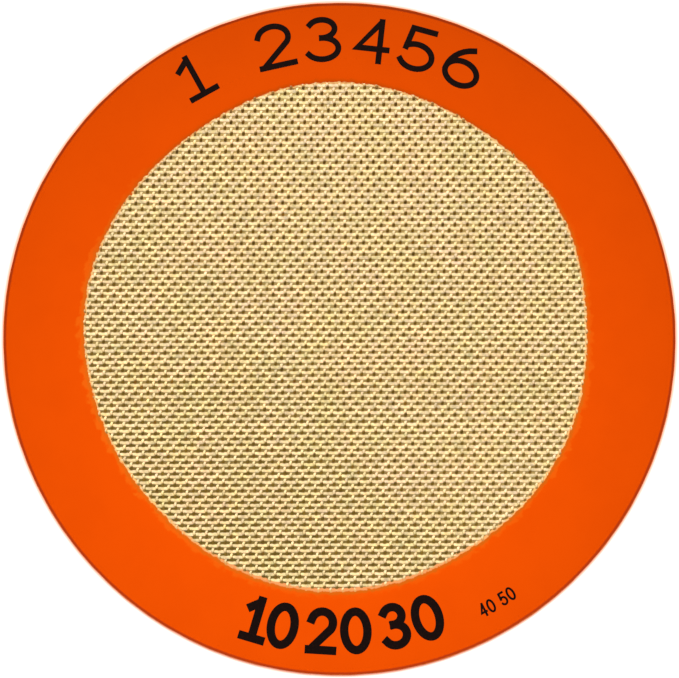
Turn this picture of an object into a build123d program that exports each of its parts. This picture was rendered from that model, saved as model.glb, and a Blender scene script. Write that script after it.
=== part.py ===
"""A round silicone baking mat: open woven glass cloth sealed between silicone coats, with a coloured border."""
import os
from math import ceil, floor, sqrt

from build123d import *

os.makedirs("parts", exist_ok=True)

# The mat lies flat in millimetres. Its underside is at height zero, the origin is the middle of
# the underside, and +Y points to the side where the top marks are printed.
mat_diameter = 228.6

# The glass cloth: plain weave, cut round, with both yarns flattened by the coating knife.
warp_pitch = 2.082
warp_width = 1.0
warp_thickness = 0.22
warp_offset = 0.85
warp_lean_angle = 1.74
weft_pitch = 1.9535
weft_width = 1.3
weft_thickness = 0.22
weft_offset = 0.35
weft_tilt_angle = 0.28
least_yarn_inset = 0.8

# The silicone: a clear coat over each face of the cloth, a printed border over each coat, and the
# seal that covers the cut ends of the yarns at the rim.
coat_thickness = 0.07
band_thickness = 0.12
border_width = 28.45
window_shift_x = -0.65
window_shift_y = 0.9
feather_width = 0.6
feather_share = 0.7
seal_width = 2.3
seal_bevel_share = 0.3

# Room beside and over a yarn in its bed, between the two coats and inside the seal, and the overrun of cuts.
bond_gap = 0.01
cut_overrun = 1.0

cloth_radius = mat_diameter / 2 - seal_width
coat_radius = cloth_radius - bond_gap
bed_length = mat_diameter + cut_overrun
window_diameter = mat_diameter - 2 * border_width

under_coat_base = band_thickness
weft_bed = under_coat_base + coat_thickness
under_coat_top = weft_bed + weft_thickness + bond_gap
warp_bed = under_coat_top + bond_gap
warp_cover = warp_bed + warp_thickness + bond_gap
top_coat_face = warp_cover + coat_thickness
mat_thickness = top_coat_face + band_thickness


def yarn_places(pitch, offset, width):
    """Distances of the yarns from the middle, as far out as a yarn still has its least inset from the rim."""
    reach = cloth_radius - width / 2 - least_yarn_inset
    first = ceil((-reach - offset) / pitch)
    last = floor((reach - offset) / pitch)
    return [offset + pitch * number for number in range(first, last + 1)]


def half_chord(place):
    """Half the length of the cloth's chord at a distance from its middle."""
    return sqrt(coat_radius**2 - place**2)


def warp_shapes():
    """Sketch of the warps: upright yarns with their four corners on the cloth's rim, all leaning alike."""
    with Locations(Rotation(0, 0, warp_lean_angle)):
        for place in yarn_places(warp_pitch, warp_offset, warp_width):
            left, right = place - warp_width / 2, place + warp_width / 2
            upper = [(left, half_chord(left)), (right, half_chord(right))]
            lower = [(right, -half_chord(right)), (left, -half_chord(left))]
            Polygon(*upper, *lower, align=None)


def weft_shapes():
    """Sketch of the wefts: level yarns with their four corners on the cloth's rim, all tilted alike."""
    with Locations(Rotation(0, 0, weft_tilt_angle)):
        for place in yarn_places(weft_pitch, weft_offset, weft_width):
            low, high = place - weft_width / 2, place + weft_width / 2
            right_end = [(half_chord(low), low), (half_chord(high), high)]
            left_end = [(-half_chord(high), high), (-half_chord(low), low)]
            Polygon(*right_end, *left_end, align=None)


def warp_beds():
    """Sketch of the beds for the warps: strips a little wider than the yarns, open at the rim."""
    with Locations(Rotation(0, 0, warp_lean_angle)):
        with Locations(*[(place, 0) for place in yarn_places(warp_pitch, warp_offset, warp_width)]):
            Rectangle(warp_width + 2 * bond_gap, bed_length)


def weft_beds():
    """Sketch of the beds for the wefts: strips a little wider than the yarns, open at the rim."""
    with Locations(Rotation(0, 0, weft_tilt_angle)):
        with Locations(*[(0, place) for place in yarn_places(weft_pitch, weft_offset, weft_width)]):
            Rectangle(bed_length, weft_width + 2 * bond_gap)


def border_ring():
    """Sketch of a border band: the round of the cloth with the shifted window left clear."""
    Circle(coat_radius)
    with Locations((window_shift_x, window_shift_y)):
        Circle(window_diameter / 2, mode=Mode.SUBTRACT)


def feather(window_edge):
    """A band thins out towards the window, as a printed layer does at its edge."""
    chamfer(window_edge, length=feather_share * band_thickness, length2=feather_width)


# Weft yarns: the crosswise glass yarns, laid in the bed of the under coat and cut at the cloth's rim.
with BuildPart() as weft_yarns:
    with BuildSketch(Plane.XY.offset(weft_bed)):
        weft_shapes()
    extrude(amount=weft_thickness)
weft_yarns.part.label = "weft_yarns"
export_step(weft_yarns.part, "parts/weft_yarns.step")

# Warp yarns: the lengthwise glass yarns, which cross over the wefts and are cut at the same rim.
with BuildPart() as warp_yarns:
    with BuildSketch(Plane.XY.offset(warp_bed)):
        warp_shapes()
    extrude(amount=warp_thickness)
warp_yarns.part.label = "warp_yarns"
export_step(warp_yarns.part, "parts/warp_yarns.step")

# Under coat: clear silicone over the cloth's underside, which also fills the rows between the wefts.
with BuildPart() as silicone_under_coat:
    with BuildSketch(Plane.XY.offset(under_coat_base)):
        Circle(coat_radius)
    extrude(amount=under_coat_top - under_coat_base)
    with BuildSketch(Plane.XY.offset(weft_bed)):
        weft_beds()
    extrude(amount=weft_thickness + cut_overrun, mode=Mode.SUBTRACT)
silicone_under_coat.part.label = "silicone_under_coat"
export_step(silicone_under_coat.part, "parts/silicone_under_coat.step")

# Top coat: clear silicone over the baking face, which also fills the rows between the warps.
with BuildPart() as silicone_top_coat:
    with BuildSketch(Plane.XY.offset(warp_bed)):
        Circle(coat_radius)
    extrude(amount=top_coat_face - warp_bed)
    with BuildSketch(Plane.XY.offset(warp_cover)):
        warp_beds()
    extrude(amount=-(warp_thickness + bond_gap + cut_overrun), mode=Mode.SUBTRACT)
silicone_top_coat.part.label = "silicone_top_coat"
export_step(silicone_top_coat.part, "parts/silicone_top_coat.step")

# Under border band: coloured silicone printed round the underside, with the round window left clear.
with BuildPart() as border_band_under:
    with BuildSketch():
        border_ring()
    extrude(amount=band_thickness)
    feather(border_band_under.faces().sort_by(Axis.Z)[0].inner_wires().edges())
border_band_under.part.label = "border_band_under"
export_step(border_band_under.part, "parts/border_band_under.step")

# Top border band: the same silicone printed round the baking face, where the marks stand on it.
with BuildPart() as border_band_top:
    with BuildSketch(Plane.XY.offset(top_coat_face)):
        border_ring()
    extrude(amount=band_thickness)
    feather(border_band_top.faces().sort_by(Axis.Z)[-1].inner_wires().edges())
border_band_top.part.label = "border_band_top"
export_step(border_band_top.part, "parts/border_band_top.step")

# Edge seal: the bevelled silicone rim that joins both bands and covers the cut ends of the yarns.
with BuildPart() as edge_seal:
    with BuildSketch(Plane.XZ):
        with Locations((cloth_radius, 0)):
            Rectangle(seal_width, mat_thickness, align=(Align.MIN, Align.MIN))
        rim_corners = vertices().group_by(Axis.X)[-1]
        chamfer(rim_corners, length=seal_bevel_share * mat_thickness)
    revolve(axis=Axis.Z)
edge_seal.part.label = "edge_seal"
export_step(edge_seal.part, "parts/edge_seal.step")
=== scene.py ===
"""A round silicone baking mat lying on a white table, seen from straight above."""
import math

import bpy
import numpy as np
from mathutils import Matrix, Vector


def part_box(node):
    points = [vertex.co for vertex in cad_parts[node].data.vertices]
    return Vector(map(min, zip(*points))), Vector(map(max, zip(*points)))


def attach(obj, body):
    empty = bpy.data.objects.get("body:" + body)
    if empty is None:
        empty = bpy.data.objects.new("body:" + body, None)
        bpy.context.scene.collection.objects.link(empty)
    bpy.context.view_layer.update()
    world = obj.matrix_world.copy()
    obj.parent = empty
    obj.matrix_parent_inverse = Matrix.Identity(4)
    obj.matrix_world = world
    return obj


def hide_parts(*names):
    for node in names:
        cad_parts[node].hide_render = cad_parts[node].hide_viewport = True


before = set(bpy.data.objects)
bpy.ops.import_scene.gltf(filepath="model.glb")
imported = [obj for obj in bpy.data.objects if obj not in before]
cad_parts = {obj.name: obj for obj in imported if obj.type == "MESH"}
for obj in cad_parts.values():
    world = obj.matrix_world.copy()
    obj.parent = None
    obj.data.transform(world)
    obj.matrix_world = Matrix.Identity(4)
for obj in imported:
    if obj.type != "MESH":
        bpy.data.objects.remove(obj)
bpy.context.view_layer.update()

# Warp yarns. The lengthwise glass yarns of the open cloth, soaked with clear silicone and pressed
# flat by the coating knife. Each goes over a weft and under the next. The loom's front heddles lift
# one half of the warps and its back heddles the other half, so each half is a piece.
MM = 0.001
CLOTH_RADIUS = 111.9 * MM
FINE_RADIUS = 87.4 * MM
WINDOW_CENTRE = np.array([-0.65, 0.9]) * MM
CLOTH_LEVEL = 0.425 * MM
YARN_INSET = 1.3 * MM
HALF_THICKNESS = 0.13 * MM
WARP_PITCH = 2.082 * MM
WARP_OFFSET = 0.885 * MM
WARP_LEAN = math.radians(1.74)
WARP_WIDTH = 1.0 * MM
WARP_CRIMP = 0.175 * MM
WARP_SWAY = 0.115 * MM
WEFT_PITCH = 1.9535 * MM
WEFT_OFFSET = 0.255 * MM
WEFT_TILT = math.radians(0.28)
FINE_STEPS = 4
COARSE_STEPS = 2
ACROSS_WARPS = np.array([math.cos(WARP_LEAN), math.sin(WARP_LEAN)])
ALONG_WARPS = np.array([-math.sin(WARP_LEAN), math.cos(WARP_LEAN)])
ACROSS_WEFTS = np.array([-math.sin(WEFT_TILT), math.cos(WEFT_TILT)])
ALONG_WEFTS = np.array([math.cos(WEFT_TILT), math.sin(WEFT_TILT)])
SIDE_SHARES = np.array([-1.0, -0.6, 0.6, 1.0, 0.6, -0.6])
HEIGHT_SHARES = np.array([0.0, 0.92, 0.92, 0.0, -0.92, -0.92])
# Colours of the soaked yarn. Lights are the least and most that a colour is multiplied by, ranges are
# where a mask starts and where it is full, and noise scales are waves to the metre.
CREAM = (1.0, 0.75, 0.42, 1.0)
DEEP_CREAM = (1.0, 0.75, 0.37, 1.0)
# The crown cream is painted shade on the yarns' crowns.
CROWN_SHADE_CREAM = (0.95, 0.69, 0.33, 1.0)
# The edge colours are the coat's amber deepened into painted shade where the yarns' edges turn down.
EDGE_PALE = (0.70, 0.47, 0.155, 1.0)
EDGE_DEEP = (0.24, 0.148, 0.018, 1.0)
# The three browns are painted shade behind the crowns and painted shadow on the wefts' flanks.
SHADE_BROWN = (0.12, 0.055, 0.002, 1.0)
SHADE_OLIVE = (0.215, 0.128, 0.018, 1.0)
SHADE_RED = (0.23, 0.08, 0.006, 1.0)
OILED_PEACH = (0.79, 0.35, 0.10, 1.0)
PATCH_SCALE = 420.0
PATCH_LIGHTS = (0.58, 1.40)
YARN_LIGHTS = (0.95, 1.05)
TINT_REACH = (0.20, 0.30, 0.90)
EDGE_SHARES = (0.6, 1.2)
# Where the painted shade and shadow start and are full, wander, point on the crown and vary.
WARP_SHADE_RANGE = (-0.76, 0.57)
WEFT_SHADOW_RANGE = (0.2, 1.15)
SHADE_WANDER = 1.35
SHADE_POINT_SIDE = 0.25
SHADE_POINT = 0.55
SHADE_LIGHTS = (0.55, 1.45)
BLUSH_SCALE = 170.0
BLUSH_SHARE = 0.6
OIL_RANGE = (-1.1, -0.3)
OIL_SHARES = (0.3, 0.95)
PEACH_SIDE = (-0.055, -0.08)
FILAMENT_BUMP = 0.25
FILAMENT_HEIGHT = 0.02 * MM
# Depth of the painted shade between the yarns: what each metre down and to the sides adds, and what is
# spared.
SHADE_LEAN = (-1.2, -5.2, 0.0)
SIDE_DEPTH = 1.5
MIDDLE_DEPTH = 0.39
CLOUD_SCALE = 55.0
CLOUD_DEPTH = 0.25
HALF_WAY = (0.5, 0.5, 0.5)
UNCHANGED = (1.0, 1.0, 1.0)
CAST_REACH = (0.26, 0.05, 0.26)
PINK_REACH = (0.0, 0.0, 0.24)
SPARED_PLACE = (0.050, -0.047, 0.0)
SPARED_REACH = 0.058
SPARED_DEPTH = 0.32
# How the cloth lies off its grid, and how one yarn differs from the next.
draw = np.random.default_rng(9)
DRIFT_WAVES = 14
DRIFT = 0.055 * MM
WARP_BOW = -0.0296
WARP_SPREAD = 0.0134
WEFT_BOW = -0.0139
CRIMP_FLATNESS = 1.6
SWAY_LEAN = 0.8
END_INSET = 0.2 * MM
WIDTH_SPREAD = 0.03
short_waves = 2 * math.pi / (draw.uniform(5, 40, (2, DRIFT_WAVES)) * MM)
long_waves = 2 * math.pi / (draw.uniform(60, 200, (2, DRIFT_WAVES)) * MM)
long_waves = long_waves * draw.choice([-1, 1], (2, DRIFT_WAVES))
wave_starts = draw.uniform(0, 2 * math.pi, (2, DRIFT_WAVES))


def cloth_drift(x, y):
    """How far the cloth lies off its square grid. The warps bow with y squared and spread with x squared,
    the wefts bow with x squared, and sine waves run each way, short from yarn to yarn and long along the
    yarns."""
    dx = WARP_BOW * y**2 + WARP_SPREAD * x**2
    dy = WEFT_BOW * x**2
    share = DRIFT * math.sqrt(2 / DRIFT_WAVES)
    for wave in range(DRIFT_WAVES):
        dx = dx + share * np.sin(short_waves[0, wave] * x + long_waves[0, wave] * y + wave_starts[0, wave])
        dy = dy + share * np.sin(short_waves[1, wave] * y + long_waves[1, wave] * x + wave_starts[1, wave])
    return dx, dy


def crimp_share(phase):
    """Height of a yarn's middle line as a share of the crimp: tanh(f cos(phase)) / tanh(f). The larger f
    is, the flatter are the crowns."""
    return np.tanh(CRIMP_FLATNESS * np.cos(phase)) / math.tanh(CRIMP_FLATNESS)


def yarn(place, number, axes, crossed, width, crimp, sway):
    """One yarn as a closed six-sided tube on a grid of rings and sides, with more rings under the window.
    Along the yarn the middle line rises and falls by the crimp with the crossings it meets, and sways by
    -sin(2 phase), more where it falls. Across it the section is flat with thin edges. Returns its points,
    quads and weave coordinates."""
    along, across = axes
    crossed_across, crossed_offset, crossed_pitch = crossed
    reach = math.sqrt((CLOTH_RADIUS - END_INSET) ** 2 - place**2)
    most = int(reach / crossed_pitch * FINE_STEPS) + 2 * FINE_STEPS
    steps = np.arange(-most, most + 1)
    crossing = crossed_offset + steps * crossed_pitch / FINE_STEPS
    travel = (crossing - place * across.dot(crossed_across)) / along.dot(crossed_across)
    line = place * across + travel[:, None] * along
    near = np.hypot(*(line - WINDOW_CENTRE).T) < FINE_RADIUS
    kept = (np.abs(travel) < reach) & (near | (steps % (FINE_STEPS // COARSE_STEPS) == 0))
    steps, line = steps[kept], line[kept]
    turn = steps / FINE_STEPS + number
    phase = math.pi * turn
    lean = np.sin(2 * phase) * (1 + SWAY_LEAN * np.sin(phase))
    line = line - (sway * lean)[:, None] * across
    half = 0.5 * width * draw.normal(1, WIDTH_SPREAD)
    rings, sides = len(steps), len(SIDE_SHARES)
    points = np.empty((rings, sides, 3))
    points[:, :, :2] = line[:, None, :] + (SIDE_SHARES * half)[None, :, None] * across
    points[:, :, 2] = CLOTH_LEVEL + crimp * crimp_share(phase)[:, None] + HALF_THICKNESS * HEIGHT_SHARES
    dx, dy = cloth_drift(points[:, :, 0], points[:, :, 1])
    points[:, :, 0] += dx
    points[:, :, 1] += dy
    ring = np.arange(rings - 1)[:, None] * sides
    following = ring + sides
    side = np.arange(sides)[None, :]
    after = (side + 1) % sides
    corners = [ring + side, ring + after, following + after, following + side]
    walls = np.stack(corners, axis=2).reshape(-1, 4)
    first = np.array([[0, 3, 2, 1], [0, 5, 4, 3]])
    last = np.array([[0, 1, 2, 3], [0, 3, 4, 5]]) + (rings - 1) * sides
    quads = np.concatenate([walls, first, last])
    if across[0] * along[1] - across[1] * along[0] < 0:
        quads = quads[:, ::-1]
    weave = np.empty((rings, sides, 3))
    weave[:, :, 0] = turn[:, None]
    weave[:, :, 1] = SIDE_SHARES
    weave[:, :, 2] = np.where(HEIGHT_SHARES < 0, -1.0, 1.0)
    return points.reshape(-1, 3), quads, weave.reshape(-1, 3)


def yarn_group(pitch, offset, half, axes, crossed, start, width, crimp, sway):
    """Every second yarn of a set, beginning with half, as one list of points, quads, weave coordinates and
    shades. A shade is one draw from 0 to 1 for each yarn."""
    most = int(CLOTH_RADIUS / pitch) + 1
    points, quads, weave, shade = [], [], [], []
    count = 0
    for number in range(-most, most + 1):
        place = offset + number * pitch
        if number % 2 == half and abs(place) < CLOTH_RADIUS - YARN_INSET:
            p, q, w = yarn(place, number + start, axes, crossed, width, crimp, sway)
            points.append(p)
            quads.append(q + count)
            weave.append(w)
            shade.append(np.full(len(p), draw.uniform(0, 1)))
            count += len(p)
    return np.concatenate(points), np.concatenate(quads), np.concatenate(weave), np.concatenate(shade)


def piece(name, points, quads, material, nodes, smooth=True):
    """Makes a mesh object from arrays of points and quads, rides it on the mat's one body and lets it stand
    for the CAD nodes named."""
    mesh = bpy.data.meshes.new(name)
    mesh.vertices.add(len(points))
    mesh.vertices.foreach_set("co", np.ascontiguousarray(points, dtype=np.float32).ravel())
    mesh.loops.add(quads.size)
    mesh.loops.foreach_set("vertex_index", np.ascontiguousarray(quads, dtype=np.int32).ravel())
    mesh.polygons.add(len(quads))
    mesh.polygons.foreach_set("loop_start", np.arange(0, quads.size, quads.shape[1], dtype=np.int32))
    mesh.polygons.foreach_set("use_smooth", np.full(len(quads), smooth))
    mesh.update(calc_edges=True)
    mesh.materials.append(material)
    made = bpy.data.objects.new(name, mesh)
    bpy.context.scene.collection.objects.link(made)
    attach(made, "root")
    if nodes:
        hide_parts(*nodes)
    return made


def write_numbers(made, name, values):
    """Stores one number, or three, per point of a piece, for its material to read."""
    kind, key = ("FLOAT", "value") if values.ndim == 1 else ("FLOAT_VECTOR", "vector")
    layer = made.data.attributes.new(name, kind, "POINT")
    layer.data.foreach_set(key, np.ascontiguousarray(values, dtype=np.float32).ravel())


def add_node(tree, kind, *inputs, **settings):
    """Adds a shader node. Each input is a socket to link, a value to set, or None to leave as it is."""
    made = tree.nodes.new("ShaderNode" + kind)
    for key, value in settings.items():
        setattr(made, key, value)
    for socket, value in zip(made.inputs, inputs):
        if isinstance(value, bpy.types.NodeSocket):
            tree.links.new(value, socket)
        elif value is not None:
            socket.default_value = value
    return made


def maths(tree, operation, *values):
    """One sum on numbers."""
    return add_node(tree, "Math", *values, operation=operation).outputs[0]


def smooth_step(tree, value, low, high):
    """Rises smoothly from 0 where value is low to 1 where it is high."""
    made = add_node(tree, "MapRange", value, low, high, 0.0, 1.0, interpolation_type="SMOOTHSTEP")
    return made.outputs[0]


def mixed(tree, share, under, over):
    """The colour under, covered with the colour over by a share from 0 to 1."""
    made = add_node(tree, "Mix", data_type="RGBA")
    for place, value in ((0, share), (6, under), (7, over)):
        if isinstance(value, bpy.types.NodeSocket):
            tree.links.new(value, made.inputs[place])
        else:
            made.inputs[place].default_value = value
    return made.outputs[2]


def new_group(name, inputs, outputs):
    """An empty shader node group with named sockets: its tree, what it is given and what it puts out."""
    tree = bpy.data.node_groups.new(name, "ShaderNodeTree")
    for socket, kind in inputs:
        tree.interface.new_socket(socket, in_out="INPUT", socket_type="NodeSocket" + kind)
    for socket, kind in outputs:
        tree.interface.new_socket(socket, in_out="OUTPUT", socket_type="NodeSocket" + kind)
    return tree, tree.nodes.new("NodeGroupInput").outputs, tree.nodes.new("NodeGroupOutput").inputs


def new_material(name):
    """A material with its node tree and its Principled shader."""
    made = bpy.data.materials.new(name)
    made.use_nodes = True
    return made, made.node_tree, made.node_tree.nodes["Principled BSDF"]


def shade_and_tint_group():
    """How deep the painted shade between the yarns is, from 0 to 1: the openings and the yarns' edges are
    painted darker where it is deep, as if the shade among the yarns were deeper there. Depth grows towards
    the lower numbers and to both sides, and varies in clouds. Level is the same but for the lower right,
    where it is less. Tint is the coat's own cast: redder and bluer or greener and yellower, lighter or
    darker."""
    outputs = [("Depth", "Float"), ("Level", "Float"), ("Tint", "Vector")]
    tree, _, out = new_group("shade and tint", [], outputs)
    place = add_node(tree, "TexCoord").outputs["Object"]
    lean = add_node(tree, "VectorMath", place, SHADE_LEAN, operation="DOT_PRODUCT").outputs["Value"]
    clouds = add_node(tree, "TexNoise", place, None, CLOUD_SCALE, 3.0, 0.6).outputs["Color"]
    cast = add_node(tree, "VectorMath", clouds, HALF_WAY, operation="SUBTRACT").outputs[0]
    cast = add_node(tree, "VectorMath", cast, CAST_REACH, UNCHANGED, operation="MULTIPLY_ADD").outputs[0]
    clouds = add_node(tree, "SeparateXYZ", clouds).outputs
    redder = maths(tree, "SUBTRACT", clouds[0], 0.5)
    pink = add_node(tree, "VectorMath", PINK_REACH, None, None, redder, operation="SCALE").outputs[0]
    cast = add_node(tree, "VectorMath", cast, pink, operation="ADD").outputs[0]
    beside = maths(tree, "ABSOLUTE", add_node(tree, "SeparateXYZ", place).outputs[0])
    depth = maths(tree, "MULTIPLY_ADD", beside, SIDE_DEPTH, lean)
    cloudy = maths(tree, "MULTIPLY_ADD", clouds[0], -CLOUD_DEPTH, MIDDLE_DEPTH + CLOUD_DEPTH / 2)
    depth = maths(tree, "ADD", depth, cloudy)
    spared = add_node(tree, "VectorMath", place, SPARED_PLACE, operation="DISTANCE").outputs["Value"]
    spared = smooth_step(tree, spared, SPARED_REACH, 0.0)
    tree.links.new(add_node(tree, "Clamp", depth).outputs[0], out["Depth"])
    level = maths(tree, "MULTIPLY_ADD", spared, -SPARED_DEPTH, depth)
    tree.links.new(add_node(tree, "Clamp", level).outputs[0], out["Level"])
    light = maths(tree, "MULTIPLY_ADD", clouds[1], -0.04, 1.04)
    tint = add_node(tree, "VectorMath", cast, None, None, light, operation="SCALE").outputs[0]
    tree.links.new(tint, out["Tint"])
    return tree


shade_and_tint = shade_and_tint_group()


def soaked_yarn_group():
    """Colour and height of a glass yarn soaked with silicone. Weave is (turns along the yarn, share across
    it, +1 above and -1 below). The yarn is cream, a little darker on its crowns, which is painted shade,
    and amber along its edges, the coat's own amber deepened into painted shade: more on one edge by Edge
    Lean, and by Flank less on its crowns and more on its lower side where it comes out from under a
    crossing. The warp's painted shade turns the slope behind each crown, which faces away from the key
    lamp, amber brown and ends in a point on the crown, and the weft's painted shadow is the shadow that
    the crown casts on the flank of the weft beside it. The painted shade is darker and lighter from place
    to place. Near Print is how far the print's oil has run into the yarn and tinted it."""
    tree, given, out = new_group(
        "soaked yarn",
        [("Weave", "Vector"), ("Shade", "Float"), ("Near Print", "Float"), ("Warp Shade", "Float"),
         ("Weft Shadow", "Float"), ("Edge Lean", "Float"), ("Flank", "Float")],
        [("Color", "Color"), ("Height", "Float")],
    )
    shade_tint = add_node(tree, "Group", node_tree=shade_and_tint).outputs
    weave = add_node(tree, "SeparateXYZ", given["Weave"]).outputs
    phase = maths(tree, "MULTIPLY", weave[0], math.pi)
    cosine = maths(tree, "COSINE", phase)
    rise = maths(tree, "MULTIPLY", cosine, weave[2])
    lee = maths(tree, "MULTIPLY", maths(tree, "SINE", phase), maths(tree, "MULTIPLY", weave[2], -1.0))
    side = maths(tree, "ABSOLUTE", maths(tree, "ADD", weave[1], given["Edge Lean"]))
    low_side = maths(tree, "MAXIMUM", maths(tree, "MULTIPLY", weave[1], -1.0), 0.0)
    flank = maths(tree, "MULTIPLY", low_side, maths(tree, "MAXIMUM", lee, 0.0))
    side = maths(tree, "MULTIPLY_ADD", flank, given["Flank"], side)
    aside = maths(tree, "ABSOLUTE", maths(tree, "SUBTRACT", weave[1], SHADE_POINT_SIDE))
    taper = maths(tree, "MULTIPLY", maths(tree, "POWER", aside, 2.0), SHADE_POINT)
    taper = maths(tree, "MULTIPLY", taper, maths(tree, "MAXIMUM", rise, 0.0))
    place = add_node(tree, "TexCoord").outputs["Object"]
    cloud = add_node(tree, "TexNoise", place, None, PATCH_SCALE, 4.0, 0.72).outputs
    uneven = maths(tree, "MULTIPLY", maths(tree, "SUBTRACT", cloud["Fac"], 0.5), SHADE_WANDER)
    lee = maths(tree, "ADD", lee, uneven)
    # Painted shade on the slope facing away from the key lamp, and painted shadow on the weft's flank.
    warp_shade = smooth_step(tree, maths(tree, "SUBTRACT", lee, taper), *WARP_SHADE_RANGE)
    sunk = maths(tree, "MULTIPLY", maths(tree, "SUBTRACT", 1.0, rise), 0.6)
    reach = maths(tree, "SUBTRACT", weave[1], sunk)
    weft_shadow = smooth_step(tree, maths(tree, "ADD", reach, uneven), *WEFT_SHADOW_RANGE)
    painted_shade = maths(tree, "MULTIPLY", warp_shade, given["Warp Shade"])
    painted_shade = maths(tree, "ADD", painted_shade, maths(tree, "MULTIPLY", weft_shadow, given["Weft Shadow"]))
    # Cream, a little yellower where the painted shade between the yarns is deep, and darker on the crowns:
    # painted shade.
    cream = mixed(tree, shade_tint["Level"], CREAM, DEEP_CREAM)
    base = mixed(tree, maths(tree, "POWER", maths(tree, "ABSOLUTE", cosine), 2.0), cream, CROWN_SHADE_CREAM)
    # Amber edges: the coat's amber deepened into painted shade, more on one edge, on the weft's lower flank
    # and where deep.
    edge = mixed(tree, shade_tint["Level"], EDGE_PALE, EDGE_DEEP)
    bare = maths(tree, "MULTIPLY", maths(tree, "MAXIMUM", rise, 0.0), given["Flank"])
    edge_share = maths(tree, "MULTIPLY_ADD", bare, -0.6, 0.8)
    edge_share = maths(tree, "MULTIPLY", smooth_step(tree, side, *EDGE_SHARES), edge_share)
    base = mixed(tree, edge_share, base, edge)
    tint = add_node(tree, "VectorMath", cloud["Color"], HALF_WAY, operation="SUBTRACT").outputs[0]
    tint = add_node(tree, "VectorMath", tint, TINT_REACH, UNCHANGED, operation="MULTIPLY_ADD")
    base = add_node(tree, "VectorMath", base, tint.outputs[0], operation="MULTIPLY").outputs[0]
    base = add_node(tree, "VectorMath", base, shade_tint["Tint"], operation="MULTIPLY").outputs[0]
    shade = add_node(tree, "MapRange", given["Shade"], 0.0, 1.0, *YARN_LIGHTS).outputs[0]
    patch = add_node(tree, "MapRange", cloud["Fac"], 0.25, 0.75, *PATCH_LIGHTS).outputs[0]
    light = maths(tree, "MULTIPLY", shade, patch)
    base = add_node(tree, "VectorMath", base, None, None, light, operation="SCALE")
    # Colour of the painted shade: amber brown, olive where deep, red in blushes, lighter and darker.
    brown = mixed(tree, shade_tint["Depth"], SHADE_BROWN, SHADE_OLIVE)
    blush = add_node(tree, "TexNoise", place, None, BLUSH_SCALE, 2.0, 0.5).outputs["Fac"]
    blush = maths(tree, "MULTIPLY", smooth_step(tree, blush, 0.55, 0.75), BLUSH_SHARE)
    brown = mixed(tree, blush, brown, SHADE_RED)
    shade_strength = add_node(tree, "SeparateXYZ", cloud["Color"]).outputs[1]
    shade_strength = add_node(tree, "MapRange", shade_strength, 0.3, 0.7, *SHADE_LIGHTS).outputs[0]
    brown = add_node(tree, "VectorMath", brown, None, None, shade_strength, operation="SCALE").outputs[0]
    colour = mixed(tree, painted_shade, base.outputs[0], brown)
    colour = mixed(tree, given["Near Print"], colour, OILED_PEACH)
    threads = maths(tree, "MULTIPLY", weave[0], 1.3), maths(tree, "MULTIPLY", weave[1], 6.0), given["Shade"]
    threads = add_node(tree, "CombineXYZ", *threads).outputs[0]
    fibres = add_node(tree, "TexNoise", threads, None, 2.5, 2.0, 0.6)
    tree.links.new(colour, out["Color"])
    tree.links.new(fibres.outputs["Fac"], out["Height"])
    return tree


soaked_yarn = soaked_yarn_group()


def yarn_material(name, warp_shade, weft_shadow, edge_lean, flank):
    """Glass yarn under a thin silicone coat: the soaked yarn's colour with its painted shade, a soft gloss
    and fine filaments.
    """
    made, tree, shader = new_material(name)
    weave = add_node(tree, "Attribute", attribute_name="weave").outputs["Vector"]
    shade = add_node(tree, "Attribute", attribute_name="yarn_shade").outputs["Fac"]
    edge_distance = add_node(tree, "Attribute", attribute_name="edge_distance").outputs["Fac"]
    y = add_node(tree, "SeparateXYZ", add_node(tree, "TexCoord").outputs["Object"]).outputs[1]
    oil = add_node(tree, "MapRange", y, *PEACH_SIDE, *OIL_SHARES).outputs[0]
    oiled = maths(tree, "MULTIPLY", smooth_step(tree, edge_distance, *OIL_RANGE), oil)
    skin = add_node(tree, "Group", node_tree=soaked_yarn)
    tree.links.new(weave, skin.inputs["Weave"])
    tree.links.new(shade, skin.inputs["Shade"])
    tree.links.new(oiled, skin.inputs["Near Print"])
    skin.inputs["Warp Shade"].default_value = warp_shade
    skin.inputs["Weft Shadow"].default_value = weft_shadow
    skin.inputs["Edge Lean"].default_value = edge_lean
    skin.inputs["Flank"].default_value = flank
    tree.links.new(skin.outputs["Color"], shader.inputs["Base Color"])
    bump = add_node(tree, "Bump", FILAMENT_BUMP, FILAMENT_HEIGHT)
    tree.links.new(skin.outputs["Height"], bump.inputs["Height"])
    tree.links.new(bump.outputs["Normal"], shader.inputs["Normal"])
    shader.inputs["Roughness"].default_value = 0.4
    shader.inputs["Specular IOR Level"].default_value = 0.12
    return made


# The warps take the painted shade behind their crowns and a little more painted shade on one edge.
warp_material = yarn_material("warp glass yarn", 1.0, 0.0, 0.2, 0.0)
WARP_AXES = (ALONG_WARPS, ACROSS_WARPS)
WEFT_AXES = (ALONG_WEFTS, ACROSS_WEFTS)
crossed_wefts = (ACROSS_WEFTS, WEFT_OFFSET, WEFT_PITCH)
crossed_warps = (ACROSS_WARPS, WARP_OFFSET, WARP_PITCH)
yarns = []
for half, name in enumerate(("warp_yarns_front_heddles", "warp_yarns_back_heddles")):
    points, quads, weave, shade = yarn_group(
        WARP_PITCH, WARP_OFFSET, half, WARP_AXES, crossed_wefts, 1, WARP_WIDTH, WARP_CRIMP, WARP_SWAY
    )
    made = piece(name, points, quads, warp_material, ["warp_yarns"])
    write_numbers(made, "weave", weave)
    write_numbers(made, "yarn_shade", shade)
    yarns.append(made)

# Weft yarns. The crosswise glass yarns, wider than the warps and with less crimp, woven over and under
# them. The shuttle leaves one half of them on its way out and the other on its way back.
WEFT_WIDTH = 1.28 * MM
WEFT_CRIMP = 0.07 * MM
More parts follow.
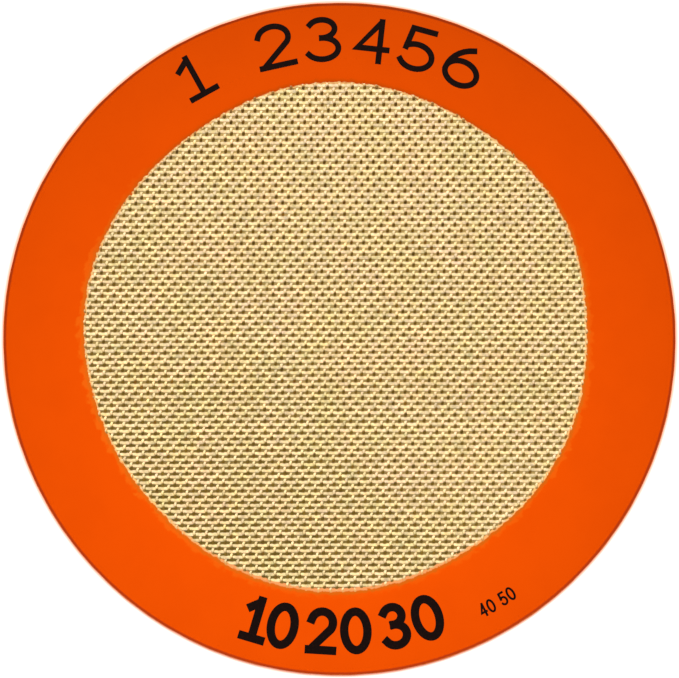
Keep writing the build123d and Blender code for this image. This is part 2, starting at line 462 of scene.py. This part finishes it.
# The wefts take the crowns' painted shadow on their flank and painted shade on their lower flank.
weft_material = yarn_material("weft glass yarn", 0.0, 1.0, 0.06, 1.15)
for half, name in enumerate(("weft_yarns_out", "weft_yarns_back")):
    points, quads, weave, shade = yarn_group(
        WEFT_PITCH, WEFT_OFFSET, half, WEFT_AXES, crossed_warps, 0, WEFT_WIDTH, WEFT_CRIMP, 0.0
    )
    made = piece(name, points, quads, weft_material, ["weft_yarns"])
    write_numbers(made, "weave", weave)
    write_numbers(made, "yarn_shade", shade)
    yarns.append(made)

# Silicone coats. Clear, slightly amber silicone spread over each face of the cloth. It wets the yarns
# and closes every opening between them with a thin film that hangs lowest in its middle.
FILM_LEVEL = 0.40 * MM
FILM_THICKNESS = 0.012 * MM
FILM_SAG = 0.03 * MM
FILM_INSET = 0.4 * MM
FILM_PATCH_SCALE = 380.0
FILM_PATCH_DEPTH = 1.2
# The film's amber runs from pale to deep as the painted shade between the yarns grows.
FILM_PALE = (0.52, 0.345, 0.115, 1.0)
FILM_DEEP = (0.13, 0.08, 0.006, 1.0)


def film(side):
    """A closed film over the grid of half pitches. Its outer face stands off the film's middle by the
    thickness, and by the sag too on the yarns, half of it on their edges and none in the openings. Cells
    inside the cloth's round are kept, and the ends of the edges that only one of them has are drawn out
    onto the cloth's rim."""
    most_p, most_w = int(2 * CLOTH_RADIUS / WARP_PITCH) + 2, int(2 * CLOTH_RADIUS / WEFT_PITCH) + 2
    i, j = np.meshgrid(np.arange(-most_p, most_p + 1), np.arange(-most_w, most_w + 1), indexing="ij")
    p = WARP_OFFSET + i * WARP_PITCH / 2
    w = WEFT_OFFSET + j * WEFT_PITCH / 2
    plane = np.linalg.inv(np.array([ACROSS_WARPS, ACROSS_WEFTS]))
    x = plane[0, 0] * p + plane[0, 1] * w
    y = plane[1, 0] * p + plane[1, 1] * w
    dx, dy = cloth_drift(x, y)
    x, y = x + dx, y + dy
    inside = np.hypot(x, y) < CLOTH_RADIUS - FILM_INSET
    cells = inside[:-1, :-1] & inside[1:, :-1] & inside[:-1, 1:] & inside[1:, 1:]
    number = np.arange(x.size).reshape(x.shape)
    quads = np.stack([number[:-1, :-1], number[1:, :-1], number[1:, 1:], number[:-1, 1:]], axis=2)[cells]
    used, flat = np.unique(quads.ravel(), return_inverse=True)
    quads = flat.reshape(-1, 4)
    x, y = x.ravel()[used], y.ravel()[used]
    edges = np.concatenate([quads[:, [0, 1]], quads[:, [1, 2]], quads[:, [2, 3]], quads[:, [3, 0]]])
    _, which, uses = np.unique(np.sort(edges, axis=1), axis=0, return_inverse=True, return_counts=True)
    rim = edges[uses[which.ravel()] == 1]
    corners = np.unique(rim)
    grow = CLOTH_RADIUS / np.hypot(x[corners], y[corners])
    x[corners], y[corners] = x[corners] * grow, y[corners] * grow
    hang = 1 - (i.ravel()[used] % 2 + j.ravel()[used] % 2) / 2
    outer = FILM_LEVEL + side * (FILM_THICKNESS + FILM_SAG * hang)
    inner = np.full(len(x), FILM_LEVEL)
    points = np.concatenate([np.stack([x, y, outer], 1), np.stack([x, y, inner], 1)])
    count = len(x)
    walls = np.stack([rim[:, 0], rim[:, 0] + count, rim[:, 1] + count, rim[:, 1]], axis=1)
    faces = np.concatenate([quads, quads[:, ::-1] + count, walls])
    return points, faces if side > 0 else faces[:, ::-1]


film_material, tree, shader = new_material("amber silicone film")
place = add_node(tree, "TexCoord").outputs["Object"]
patch = add_node(tree, "TexNoise", place, None, FILM_PATCH_SCALE, 2.0, 0.5).outputs["Fac"]
patch = maths(tree, "MULTIPLY_ADD", patch, FILM_PATCH_DEPTH, -FILM_PATCH_DEPTH / 2)
# The film is darkened by the painted shade between the yarns, more to the lower numbers and sides.
shade_tint = add_node(tree, "Group", node_tree=shade_and_tint).outputs
depth = maths(tree, "ADD", shade_tint["Level"], patch)
amber = mixed(tree, add_node(tree, "Clamp", depth).outputs[0], FILM_PALE, FILM_DEEP)
amber = add_node(tree, "VectorMath", amber, shade_tint["Tint"], operation="MULTIPLY").outputs[0]
tree.links.new(amber, shader.inputs["Base Color"])
shader.inputs["Roughness"].default_value = 0.35
shader.inputs["Specular IOR Level"].default_value = 0.12
for side, name, node in (
    (1, "silicone_film_top", "silicone_top_coat"), (-1, "silicone_film_under", "silicone_under_coat")
):
    points, quads = film(side)
    piece(name, points, quads, film_material, [node])

# Border bands. Coloured silicone printed thickly round each face. It sinks into the weave and thins
# out towards the window. Its edge wanders, and a skirt of it without pigment runs on between the yarns.
BAND_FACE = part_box("border_band_top")[1].z
COAT_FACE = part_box("border_band_top")[0].z
BAND_OUTER = 112.0 * MM
WINDOW_RADIUS = 85.62 * MM
WANDER_WAVES = ((2, 0.35, 74), (3, 0.45, 39), (4, 0.48, -5), (5, 0.47, 32), (6, 0.335, -28), (7, 0.09, -19),
                (8, 0.09, -18), (10, 0.06, -7))
FINE_WAVES = (37, 53, 71, 97, 131, 173)
FINE_WAVE = 0.05 * MM
LOWER_START = 65 * MM
LOWER_REACH = 18 * MM
FACE_SHARES = (0.25, 0.5, 0.75)
EDGE_LOOP = 0.03 * MM
FOOT_INSET = 0.3 * MM
FOOT_HEIGHT = 0.01 * MM
BAND_STEPS = 1440
ORANGE = (0.755, 0.07, 0.0003, 1.0)
DEEP_ORANGE = (0.69, 0.06, 0.0002, 1.0)
YELLOW_ORANGE = (0.87, 0.15, 0.006, 1.0)
# Painted shade on the band's feather: red at the lower side and yellower at the upper side.
FEATHER_SHADE_ORANGE = (0.60, 0.065, 0.001, 1.0)
FEATHER_SHADE_YELLOW = (0.70, 0.13, 0.006, 1.0)
ORANGE_GLOSS = (1.0, 0.25, 0.02, 1.0)
PRINT_CLOUD_SCALE = 60.0
# Painted light: how much lighter the print grows per metre to the left and down.
PRINT_LIGHT_LEAN = (-0.21, -0.93, 0.0)
PRINT_FALL = -3.35
PRINT_LEVEL = 1.337
GRAIN_SCALE = 1900.0
GRAIN_BUMP = 0.12
GRAIN_HEIGHT = 0.03 * MM
RAGGED_SCALE = 700.0
RAGGED_REACH = 1.4
THIN_LEAN = (-1.2, -4.1, 0.0)
THIN_SIDES = 8.0
THIN_MIDDLE = -0.29
THIN_PATCH_SCALE = 330.0
THIN_PATCH_REACH = 7.0
YELLOW_RUN = (2.6, 1.2)
YELLOW_LIMIT = (3.3, 2.3)
# Where the feather's painted shade lies, where it turns yellow, and how it darkens to the lower right.
FEATHER_SHADE_RANGE = (1.5, 0.4)
FEATHER_SHADE_SIDE = (0.09, 0.0)
FEATHER_SHADE_RIGHT = 13.0
FEATHER_SHADE_MIDDLE = 1.5
SKIRT_RANGE = (0.2, -0.2)
SKIRT_CREAM = (0.92, 0.52, 0.18, 1.0)
SKIRT_PEACH = (0.81, 0.32, 0.11, 1.0)


def window_edge(angle):
    """Radius of the band's inner edge about the window's middle: the mean plus a cosine wave for each row
    of WANDER_WAVES, given as its order, height in millimetres and the angle of its peak in degrees."""
    radius = np.full_like(angle, WINDOW_RADIUS)
    for order, height, peak in WANDER_WAVES:
        radius = radius + height * MM * np.cos(order * (angle - math.radians(peak)))
    return radius


def ring_of(profile_radius, profile_height, angle, flip=False):
    """Closed ring: a closed profile of radius and height carried round the middle, one column per angle.
    profile_radius and profile_height hold a row for each point of the profile."""
    rows, columns = profile_radius.shape
    x, y = profile_radius * np.cos(angle), profile_radius * np.sin(angle)
    points = np.stack([x, y, profile_height], axis=2)
    row = np.arange(rows)[:, None]
    column = np.arange(columns)[None, :]
    below, beside = (row + 1) % rows, (column + 1) % columns
    quads = np.stack([
        row * columns + column, below * columns + column, below * columns + beside, row * columns + beside
    ], axis=2).reshape(-1, 4)
    return points.reshape(-1, 3), quads[:, ::-1] if flip else quads


def band(side):
    """A border band: from the foot of its skirt among the yarns the face rises over the feather, levels off
    and runs flat to the seal. The feather's steps are millimetres: distance outwards from the window's
    edge, height above the cloth's middle, and what is added to both at the lower side, where the skirt ran
    furthest. Returns the distance for each point too."""
    angle = np.linspace(0, 2 * math.pi, BAND_STEPS, endpoint=False)
    edge = window_edge(angle)
    for order in FINE_WAVES:
        edge = edge + FINE_WAVE * np.sin(order * angle + draw.uniform(0, 2 * math.pi))
    x, y = WINDOW_CENTRE[0] + edge * np.cos(angle), WINDOW_CENTRE[1] + edge * np.sin(angle)
    centre_angle = np.arctan2(y, x)
    centre_radius = np.hypot(y, x)
    face = BAND_FACE - CLOTH_LEVEL
    coat_high, face_high = (COAT_FACE - CLOTH_LEVEL) / MM, face / MM
    feather = (
        (-0.8, -0.02, -0.45, 0.0), (-0.5, 0.06, -0.3, 0.07), (-0.15, 0.15, -0.1, 0.08),
        (0.05, coat_high - 0.09, 0.0, 0.04), (0.25, coat_high - 0.02, 0.0, 0.0),
        (0.5, coat_high + 0.02, 0.0, 0.0), (1.0, coat_high + 0.06, 0.0, 0.0),
        (2.0, face_high - 0.01, 0.0, 0.0), (3.5, face_high, 0.0, 0.0)
    )
    lower = np.clip((-y - LOWER_START) / LOWER_REACH, 0, 1)
    radii = [centre_radius + (distance + further * lower) * MM for distance, _, further, _ in feather]
    heights = [(height + higher * lower) * MM for _, height, _, higher in feather]
    for share in FACE_SHARES:
        radii.append(radii[len(feather) - 1] * (1 - share) + BAND_OUTER * share)
        heights.append(np.full(BAND_STEPS, face))
    radii += [np.full(BAND_STEPS, BAND_OUTER - EDGE_LOOP), np.full(BAND_STEPS, BAND_OUTER)]
    radii += [np.full(BAND_STEPS, BAND_OUTER), centre_radius + FOOT_INSET]
    heights += [np.full(BAND_STEPS, face), np.full(BAND_STEPS, face)]
    heights += [np.full(BAND_STEPS, FOOT_HEIGHT), np.full(BAND_STEPS, FOOT_HEIGHT)]
    radii, heights = np.array(radii), np.array(heights)
    points, quads = ring_of(radii, CLOTH_LEVEL + side * heights, centre_angle, side < 0)
    distance = np.minimum((radii - centre_radius) / MM, feather[-1][0])
    return points, quads, distance.ravel()


def orange_print_group():
    """Colour and grain of the printed silicone: orange, deeper in slow clouds, a little paler towards the
    window, and lighter towards the lower numbers, which is painted light."""
    tree, _, out = new_group("orange print", [], [("Color", "Color"), ("Grain", "Float")])
    place = add_node(tree, "TexCoord").outputs["Object"]
    cloud = add_node(tree, "TexNoise", place, None, PRINT_CLOUD_SCALE, 4.0, 0.6).outputs["Fac"]
    grain = add_node(tree, "TexNoise", place, None, GRAIN_SCALE, 2.0, 0.6).outputs["Fac"]
    deeper = maths(tree, "MULTIPLY", smooth_step(tree, cloud, 0.35, 0.7), 0.3)
    colour = mixed(tree, deeper, ORANGE, DEEP_ORANGE)
    flat = add_node(tree, "VectorMath", place, (1.0, 1.0, 0.0), operation="MULTIPLY").outputs[0]
    distance = add_node(tree, "VectorMath", flat, operation="LENGTH").outputs["Value"]
    # Painted light: lighter towards the lower numbers.
    lean = add_node(tree, "VectorMath", place, PRINT_LIGHT_LEAN, operation="DOT_PRODUCT").outputs["Value"]
    level = maths(tree, "MULTIPLY_ADD", distance, PRINT_FALL, PRINT_LEVEL)
    light = maths(tree, "ADD", level, lean)
    colour = add_node(tree, "VectorMath", colour, None, None, light, operation="SCALE")
    tree.links.new(colour.outputs[0], out["Color"])
    tree.links.new(grain, out["Grain"])
    return tree


orange_print = orange_print_group()


def band_material(name):
    """Satin silicone: the orange print, yellower in patches where it is thin at the sides of the window,
    with a narrow dark line of painted shade on its feather, darkest at the lower right, and the cream
    skirt without pigment, which is peach at the lower side."""
    made, tree, shader = new_material(name)
    skin = add_node(tree, "Group", node_tree=orange_print).outputs
    place = add_node(tree, "TexCoord").outputs["Object"]
    ragged = add_node(tree, "TexNoise", place, None, RAGGED_SCALE, 2.0, 0.6).outputs["Fac"]
    ragged = maths(tree, "MULTIPLY_ADD", ragged, RAGGED_REACH, -RAGGED_REACH / 2)
    edge_distance = add_node(tree, "Attribute", attribute_name="edge_distance").outputs["Fac"]
    edge_distance = maths(tree, "ADD", edge_distance, ragged)
    x, y, _ = add_node(tree, "SeparateXYZ", place).outputs
    lean = add_node(tree, "VectorMath", place, THIN_LEAN, operation="DOT_PRODUCT").outputs["Value"]
    sides = maths(tree, "MULTIPLY_ADD", maths(tree, "ABSOLUTE", x), THIN_SIDES, THIN_MIDDLE)
    thin = add_node(tree, "Clamp", maths(tree, "ADD", lean, sides)).outputs[0]
    patches = add_node(tree, "TexNoise", place, None, THIN_PATCH_SCALE, 2.0, 0.6).outputs["Fac"]
    patches = maths(tree, "MULTIPLY_ADD", patches, THIN_PATCH_REACH, -THIN_PATCH_REACH / 2)
    run = maths(tree, "ADD", edge_distance, patches)
    near = smooth_step(tree, edge_distance, *YELLOW_LIMIT)
    yellow = maths(tree, "MULTIPLY", smooth_step(tree, run, *YELLOW_RUN), near)
    yellow = maths(tree, "MULTIPLY", thin, yellow)
    colour = mixed(tree, yellow, skin["Color"], YELLOW_ORANGE)
    # Painted shade: a narrow line on the feather, darker towards the lower right.
    feather_shade = mixed(tree, smooth_step(tree, y, *FEATHER_SHADE_SIDE), FEATHER_SHADE_ORANGE, FEATHER_SHADE_YELLOW)
    lower = add_node(tree, "Clamp", maths(tree, "MULTIPLY", y, -1.0), 0.0, 0.05).outputs[0]
    dark = maths(tree, "MULTIPLY", lower, maths(tree, "MULTIPLY_ADD", x, FEATHER_SHADE_RIGHT, FEATHER_SHADE_MIDDLE))
    light = maths(tree, "SUBTRACT", 1.0, dark)
    feather_shade = add_node(tree, "VectorMath", feather_shade, None, None, light, operation="SCALE")
    colour = mixed(tree, smooth_step(tree, edge_distance, *FEATHER_SHADE_RANGE), colour, feather_shade.outputs[0])
    skirt = mixed(tree, smooth_step(tree, y, *PEACH_SIDE), SKIRT_CREAM, SKIRT_PEACH)
    colour = mixed(tree, smooth_step(tree, edge_distance, *SKIRT_RANGE), colour, skirt)
    tree.links.new(colour, shader.inputs["Base Color"])
    bump = add_node(tree, "Bump", GRAIN_BUMP, GRAIN_HEIGHT)
    tree.links.new(skin["Grain"], bump.inputs["Height"])
    tree.links.new(bump.outputs["Normal"], shader.inputs["Normal"])
    shader.inputs["Roughness"].default_value = 0.5
    shader.inputs["Specular IOR Level"].default_value = 0.2
    shader.inputs["Specular Tint"].default_value = ORANGE_GLOSS
    return made


band_orange = band_material("orange silicone")
for side, name, node in (
    (1, "border_print_top", "border_band_top"), (-1, "border_print_under", "border_band_under")
):
    points, quads, edge_distance = band(side)
    made = piece(name, points, quads, band_orange, [node])
    write_numbers(made, "edge_distance", edge_distance)
for made in yarns:
    points = np.empty(len(made.data.vertices) * 3, dtype=np.float32)
    made.data.vertices.foreach_get("co", points)
    out = points.reshape(-1, 3)[:, :2] - WINDOW_CENTRE
    edge_distance = np.hypot(*out.T) - window_edge(np.arctan2(out[:, 1], out[:, 0]))
    write_numbers(made, "edge_distance", edge_distance / MM)

# Edge seal. The rim of the same silicone that runs down over the cut ends of the yarns. Near its outer
# edge it is painted darker, a painted shade that reads as a fine line, and paler again on its thin
# rounded lip, a painted highlight; both are lighter at the lower side, as if lit from there.
RIM_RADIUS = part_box("edge_seal")[1].x
RIM_ROUND = 0.36 * MM
RIM_BENDS = (90, 68, 45, 22, 0)
RIM_SHELF = 0.9 * MM
RIM_TRIM = 0.08 * MM
RIM_STEPS = 1440
RIM_WAVES = (3, 7, 19, 43, 87)
RIM_WAVE = 0.03 * MM
# Painted shade near the rim's outer edge, and a painted highlight of paler orange on its lip.
RIM_SHADE_BROWN = (0.34, 0.028, 0.004, 1.0)
LIP_HIGHLIGHT_ORANGE = (0.80, 0.17, 0.02, 1.0)
RIM_SHADE_SCALE = 900.0
RIM_SHADE_RAGGED = 0.35 * MM
RIM_SHADE_START, RIM_SHADE_END = 1.35 * MM, 0.75 * MM
LIP_START, LIP_END = 0.45 * MM, 0.15 * MM
# How much lighter the rim's painted shade and highlight grow per metre down.
RIM_LIGHT_LEAN = (0.0, -2.2, 0.0)
angle = np.linspace(0, 2 * math.pi, RIM_STEPS, endpoint=False)
bend = np.radians(np.array(RIM_BENDS))
rim_outer = RIM_RADIUS - RIM_ROUND + RIM_ROUND * np.cos(bend)
upper = BAND_FACE - RIM_ROUND + RIM_ROUND * np.sin(bend)
inner = BAND_OUTER + np.array([0.0, EDGE_LOOP, RIM_SHELF])
profile_radius = np.concatenate([inner, rim_outer, rim_outer[::-1], inner[1::-1]])
profile_height = np.concatenate([np.full(3, BAND_FACE), upper, BAND_FACE - upper[::-1], [0.0, 0.0]])
wobble = sum(RIM_WAVE * np.sin(order * angle + draw.uniform(0, 2 * math.pi)) for order in RIM_WAVES)
outer_part = np.where(profile_radius > BAND_OUTER + RIM_SHELF / 2, 1.0, 0.0)
radii = profile_radius[:, None] + outer_part[:, None] * (wobble - RIM_TRIM)
heights = np.repeat(profile_height[:, None], RIM_STEPS, axis=1)
points, quads = ring_of(radii, heights, angle)
shaded_rim, tree, shader = new_material("rim silicone with painted shade")
place = add_node(tree, "TexCoord").outputs["Object"]
flat_place = add_node(tree, "VectorMath", place, (1.0, 1.0, 0.0), operation="MULTIPLY").outputs[0]
distance = add_node(tree, "VectorMath", flat_place, operation="LENGTH").outputs["Value"]
ragged = add_node(tree, "TexNoise", place, None, RIM_SHADE_SCALE, 3.0, 0.6).outputs["Fac"]
ragged = maths(tree, "MULTIPLY", maths(tree, "SUBTRACT", ragged, 0.5), RIM_SHADE_RAGGED)
distance = maths(tree, "ADD", distance, ragged)
# Painted shade near the rim's outer edge and a painted highlight on its lip, both lighter lower down.
rim_shade = smooth_step(tree, distance, RIM_RADIUS - RIM_SHADE_START, RIM_RADIUS - RIM_SHADE_END)
lip = smooth_step(tree, distance, RIM_RADIUS - LIP_START, RIM_RADIUS - LIP_END)
skin = add_node(tree, "Group", node_tree=orange_print).outputs
lean = add_node(tree, "VectorMath", place, RIM_LIGHT_LEAN, operation="DOT_PRODUCT").outputs["Value"]
brown_light = maths(tree, "ADD", lean, 1.07)
brown = add_node(tree, "VectorMath", RIM_SHADE_BROWN[:3], None, None, brown_light, operation="SCALE")
pale_light = maths(tree, "MULTIPLY_ADD", lean, 0.9, 0.8)
pale = add_node(tree, "VectorMath", LIP_HIGHLIGHT_ORANGE[:3], None, None, pale_light, operation="SCALE")
rim_colour = mixed(tree, lip, mixed(tree, rim_shade, skin["Color"], brown.outputs[0]), pale.outputs[0])
tree.links.new(rim_colour, shader.inputs["Base Color"])
shader.inputs["Roughness"].default_value = 0.55
shader.inputs["Specular IOR Level"].default_value = 0.2
shader.inputs["Specular Tint"].default_value = ORANGE_GLOSS
seal = piece("edge_seal_rim", points, quads, shaded_rim, ["edge_seal"])

# Printed numbers. Plain black numbers of even stroke with square ends, screened onto the top band: thin
# and wide ones along the upper arc, heavy ones along the lower arc and small ones at the lower right.
INK_THICKNESS = 0.03 * MM
INK_SINK = 0.01 * MM
INK_LAYER = 0.002 * MM
INK_BLACK = (0.006, 0.002, 0.0015, 1.0)
WORN_BLACK = (0.018, 0.005, 0.002, 1.0)
WORN_SCALE = 1500.0
ARC_STEP = 10


def bow(x, y, wide, high, start, end):
    """Points along an elliptical arc, from one angle to another in degrees."""
    turn = np.radians(np.linspace(start, end, int(abs(end - start) / ARC_STEP) + 2))
    return [(x + wide * math.cos(t), y + high * math.sin(t)) for t in turn]


# Each numeral's strokes follow the middle of the line, in a box as high as 1 and as wide as NUMERAL_WIDTH.
NUMERAL_WIDTH = 0.6
NUMERAL_STROKES = {
    "0": [bow(0.3, 0.5, 0.3, 0.5, 90, 450)],
    "1": [[(0.1, 0.78), (0.28, 0.93)], [(0.32, 1.0), (0.32, 0.0)], [(0.08, 0.0), (0.56, 0.0)]],
    "2": [bow(0.3, 0.71, 0.28, 0.29, 165, -35) + [(0.05, 0.02)], [(0.0, 0.0), (0.6, 0.0)]],
    "3": [bow(0.29, 0.77, 0.24, 0.23, 150, -90), bow(0.29, 0.27, 0.29, 0.27, 90, -150)],
    "4": [[(0.45, 1.0), (0.45, 0.0)], [(0.43, 0.97), (0.02, 0.3), (0.58, 0.3)]],
    "5": [[(0.52, 1.0), (0.12, 1.0), (0.07, 0.5)], bow(0.28, 0.31, 0.3, 0.31, 130, -150)],
    "6": [bow(0.3, 0.3, 0.3, 0.3, 90, 450), bow(0.58, 0.3, 0.58, 0.7, 180, 112)],
}


def stroke_edges(line, half_width):
    """Left and right edges of a stroke of even width along a line of points, with mitred corners. A line
    that closes on itself is mitred there too, and open ends stand out by half the width."""
    line = np.array(line, dtype=float)
    step = np.diff(line, axis=0)
    step /= np.linalg.norm(step, axis=1)[:, None]
    closed = np.allclose(line[0], line[-1])
    if not closed:
        line[0] -= step[0] * half_width
        line[-1] += step[-1] * half_width
    before = np.concatenate([step[-1:] if closed else step[:1], step])
    behind = np.concatenate([step, step[:1] if closed else step[-1:]])
    mitre = before + behind
    mitre /= (mitre * before).sum(axis=1)[:, None]
    off = np.stack([-mitre[:, 1], mitre[:, 0]], axis=1) * half_width
    return line + off, line - off


def numerals(text, angles, middle_radius, height, width, stroke, side):
    """Numerals on an arc as closed slabs on the band's face, one for each stroke and each a hair higher
    than the one before it. A stroke that closes on itself is a ring without ends. Angles are degrees to the
    right of the arc's middle, at the top for side 1 and at the bottom for side -1."""
    points, quads, count = [], [], 0
    for mark, degrees in zip(text, angles):
        turn = math.radians(degrees) * side
        up = np.array([math.sin(turn), math.cos(turn)])
        right = np.array([up[1], -up[0]])
        for layer, line in enumerate(NUMERAL_STROKES[mark]):
            size = np.array([(width - stroke) / NUMERAL_WIDTH, height - stroke])
            left, beside = stroke_edges((np.array(line) - (NUMERAL_WIDTH / 2, 0.5)) * size, stroke / 2)
            flat = np.stack([left, beside, beside, left], axis=1)
            flat = np.clip(flat, (-width / 2, -height / 2), (width / 2, height / 2))
            placed = up * middle_radius * side + flat[:, :, :1] * right + flat[:, :, 1:] * up
            closed = np.allclose(line[0], line[-1])
            rows = len(placed) - 1
            placed = placed[:rows] if closed else placed
            top = INK_THICKNESS + layer * INK_LAYER
            level = BAND_FACE + np.array([1.0, 1.0, 0.0, 0.0]) * top - INK_SINK
            corners = np.concatenate([placed, np.tile(level[None, :, None], (len(placed), 1, 1))], axis=2)
            row = np.arange(rows)[:, None] * 4
            following = (row + 4) % (len(placed) * 4)
            corner = np.arange(4)[None, :]
            after = (corner + 1) % 4
            walls = np.stack([row + corner, row + after, following + after, following + corner], axis=2)
            caps = np.array([[3, 2, 1, 0], [0, 1, 2, 3]]) + np.array([[0], [rows * 4]])
            points.append(corners.reshape(-1, 3))
            quads.append(walls.reshape(-1, 4) + count)
            if not closed:
                quads.append(caps + count)
            count += len(placed) * 4
    return np.concatenate(points), np.concatenate(quads)


ink, tree, shader = new_material("black print")
place = add_node(tree, "TexCoord").outputs["Object"]
worn = add_node(tree, "TexNoise", place, None, WORN_SCALE, 3.0, 0.6).outputs["Fac"]
ink_colour = mixed(tree, smooth_step(tree, worn, 0.5, 0.8), INK_BLACK, WORN_BLACK)
tree.links.new(ink_colour, shader.inputs["Base Color"])
shader.inputs["Roughness"].default_value = 0.5
shader.inputs["Specular IOR Level"].default_value = 0.03
UPPER_ANGLES = (-29.0, -12.5, -3.25, 6.25, 15.25, 24.5)
LOWER_ANGLES = (-16.6, -11.2, -3.5, 3.2, 10.85, 17.5)
SMALL_ANGLES = (27.9, 29.6, 32.2, 33.9)
for name, text, angles, radius, height, width, stroke, side in (
    ("print_upper_numbers", "123456", UPPER_ANGLES, 101.9, 15.4, 13.2, 2.0, 1),
    ("print_lower_numbers", "102030", LOWER_ANGLES, 99.3, 16.0, 10.8, 2.9, -1),
    ("print_small_numbers", "4050", SMALL_ANGLES, 104.2, 4.9, 2.8, 0.75, -1),
):
    points, quads = numerals(text, angles, radius * MM, height * MM, width * MM, stroke * MM, side)
    piece(name, points, quads, ink, [], smooth=False)

# Table, light and camera. A white table and white surroundings, one broad lamp high up on the side of
# the upper numbers, soft light from all round, and a long lens straight above the mat.
TABLE_SIZE = 3.0
TABLE_DROP = 0.02 * MM
TABLE_GLOW = 0.5
KEY_HEIGHT = math.radians(56)
KEY_SPREAD = math.radians(20)
KEY_SHARE = 0.70
SOFT_SHARE = 0.40
CAMERA_HEIGHT = 1.6
SENSOR_WIDTH = 36.0
PIXEL_WIDTH = 0.33967 * MM
PHOTO_WIDTH = 679
BOUNCE_REACH = 1.5 * MM
TABLE_WHITE = (0.93, 0.93, 0.93, 1.0)
BOUNCE_PEACH = (0.93, 0.43, 0.31, 1.0)
corners = np.array([(-1, -1), (1, -1), (1, 1), (-1, 1)]) * TABLE_SIZE / 2
table_mesh = bpy.data.meshes.new("table")
table_mesh.from_pydata([(x, y, -TABLE_DROP) for x, y in corners], [], [(0, 1, 2, 3)])
table = bpy.data.objects.new("table", table_mesh)
bpy.context.scene.collection.objects.link(table)
table_white, tree, shader = new_material("table white")
place = add_node(tree, "TexCoord").outputs["Object"]
flat_place = add_node(tree, "VectorMath", place, (1.0, 1.0, 0.0), operation="MULTIPLY")
distance = add_node(tree, "VectorMath", flat_place.outputs[0], operation="LENGTH").outputs["Value"]
bounce = smooth_step(tree, distance, RIM_RADIUS + BOUNCE_REACH, RIM_RADIUS)
table_colour = mixed(tree, bounce, TABLE_WHITE, BOUNCE_PEACH)
tree.links.new(table_colour, shader.inputs["Base Color"])
tree.links.new(table_colour, shader.inputs["Emission Color"])
shader.inputs["Roughness"].default_value = 0.9
shader.inputs["Specular IOR Level"].default_value = 0.0
glow = maths(tree, "MULTIPLY", add_node(tree, "LightPath").outputs["Is Camera Ray"], TABLE_GLOW)
tree.links.new(glow, shader.inputs["Emission Strength"])
table_mesh.materials.append(table_white)

world = bpy.data.worlds.new("studio")
bpy.context.scene.world = world
world.use_nodes = True
tree = world.node_tree
paths = add_node(tree, "LightPath").outputs
mirrored = maths(tree, "MAXIMUM", paths["Is Glossy Ray"], paths["Is Transmission Ray"])
seen = maths(tree, "MAXIMUM", paths["Is Camera Ray"], mirrored)
strength = add_node(tree, "MapRange", seen, 0.0, 1.0, SOFT_SHARE, 1.0).outputs[0]
tree.links.new(strength, tree.nodes["Background"].inputs["Strength"])
tree.nodes["Background"].inputs["Color"].default_value = (1.0, 1.0, 1.0, 1.0)

key_light = bpy.data.lights.new("key lamp", "SUN")
key_light.energy = math.pi * KEY_SHARE / math.sin(KEY_HEIGHT)
key_light.angle = KEY_SPREAD
key = bpy.data.objects.new("key lamp", key_light)
key.rotation_euler = (-(math.pi / 2 - KEY_HEIGHT), 0.0, 0.0)
bpy.context.scene.collection.objects.link(key)

lens = bpy.data.cameras.new("camera")
lens.sensor_width = SENSOR_WIDTH
lens.lens = SENSOR_WIDTH * (CAMERA_HEIGHT - BAND_FACE) / (PHOTO_WIDTH * PIXEL_WIDTH)
camera = bpy.data.objects.new("camera", lens)
camera.location = (0.0, 0.0, CAMERA_HEIGHT)
bpy.context.scene.collection.objects.link(camera)
bpy.context.scene.camera = camera
bpy.context.scene.view_settings.view_transform = "Standard"
